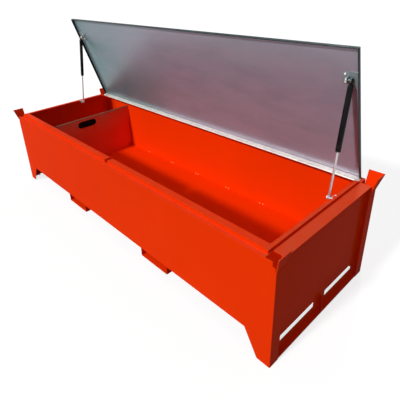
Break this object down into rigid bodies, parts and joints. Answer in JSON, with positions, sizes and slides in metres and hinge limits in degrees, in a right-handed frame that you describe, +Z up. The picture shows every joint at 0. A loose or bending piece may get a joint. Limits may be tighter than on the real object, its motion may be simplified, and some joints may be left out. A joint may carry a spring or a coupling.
{
  "type": "fluorescent tube storage box",
  "caption": "Long painted steel storage box for fluorescent tubes, with fork pockets, flared stacking corners, a lift-out divider and a hinged galvanised lid on gas struts.",
  "frame": {"origin": "middle of the box's footprint on the ground", "axes": "+X along the box towards the long compartment's end, -Y towards the front, +Y towards the hinge side, +Z up"},
  "size_m": [1.834, 0.639, 0.9103],
  "materials": {
    "orange_paint": "powder coat, semi-gloss",
    "galvanised_sheet": "galvanised, satin",
    "hinge_steel": "zinc plated, satin",
    "zinc_plate": "bright zinc plate",
    "black_lacquer": "gloss lacquer",
    "polished_rod": "polished"
  },
  "bodies": {
    "box": {"front_wall": "orange_paint", "front_rim": "orange_paint", "front_lip": "orange_paint", "front_ledge": "orange_paint", "back_wall": "orange_paint", "back_rim": "orange_paint", "end_panel_left": "orange_paint", "end_panel_right": "orange_paint", "end_webs_left": "orange_paint", "end_webs_right": "orange_paint", "end_sill_left": "orange_paint", "end_sill_right": "orange_paint", "end_rail_left": "orange_paint", "end_rail_right": "orange_paint", "floor_panel": "orange_paint", "fork_channel_left": "orange_paint", "fork_channel_right": "orange_paint", "end_rib_left": "orange_paint", "end_rib_right": "orange_paint", "lug_front_left": "orange_paint", "lug_front_right": "orange_paint", "lug_back_left": "orange_paint", "lug_back_right": "orange_paint", "divider_clips": "orange_paint", "hinge_leaf_box": "hinge_steel", "hinge_pin": "hinge_steel", "strut_bracket_box_left": "zinc_plate", "strut_bracket_box_right": "zinc_plate"},
    "lid": {"lid_panel": "galvanised_sheet", "lid_fold_front": "galvanised_sheet", "lid_fold_back": "galvanised_sheet", "lid_fold_left": "galvanised_sheet", "lid_fold_right": "galvanised_sheet", "hinge_leaf_lid": "hinge_steel", "strut_bracket_lid_left": "zinc_plate", "strut_bracket_lid_right": "zinc_plate"},
    "divider": {"divider_plate": "orange_paint"},
    "rod_left": {"strut_rod_left": "polished_rod"},
    "rod_right": {"strut_rod_right": "polished_rod"},
    "tube_left": {"strut_tube_left": "black_lacquer"},
    "tube_right": {"strut_tube_right": "black_lacquer"}
  },
  "joints": [
    {"name": "lid_hinge", "type": "hinge", "parent": "box", "child": "lid", "pos_m": [0, 0.258, 0.4137], "axis": [1, 0, 0], "range_deg": [0, 71.5]},
    {"name": "divider_lift", "type": "slide", "parent": "box", "child": "divider", "axis": [0, 0, 1], "range_m": [0, 0.035]},
    {"name": "strut_swing_left", "type": "hinge", "parent": "box", "child": "rod_left", "pos_m": [-0.831, 0.09, 0.412], "axis": [1, 0, 0], "range_deg": [0, 94.3]},
    {"name": "strut_swing_right", "type": "hinge", "parent": "box", "child": "rod_right", "pos_m": [0.831, 0.09, 0.412], "axis": [1, 0, 0], "range_deg": [0, 94.3]},
    {"name": "strut_slide_left", "type": "slide", "parent": "rod_left", "child": "tube_left", "axis": [0, 0.1217, 0.9926], "range_m": [-0.155, 0]},
    {"name": "strut_slide_right", "type": "slide", "parent": "rod_right", "child": "tube_right", "axis": [0, 0.1217, 0.9926], "range_m": [-0.155, 0]}
  ],
  "couplings": [
    {"joint": "strut_swing_left", "follows": "lid_hinge", "ratio": 1.3174},
    {"joint": "strut_swing_right", "follows": "lid_hinge", "ratio": 1.3174},
    {"joint": "strut_slide_left", "follows": "lid_hinge", "m_per_rad": -0.12376},
    {"joint": "strut_slide_right", "follows": "lid_hinge", "m_per_rad": -0.12376}
  ]
}
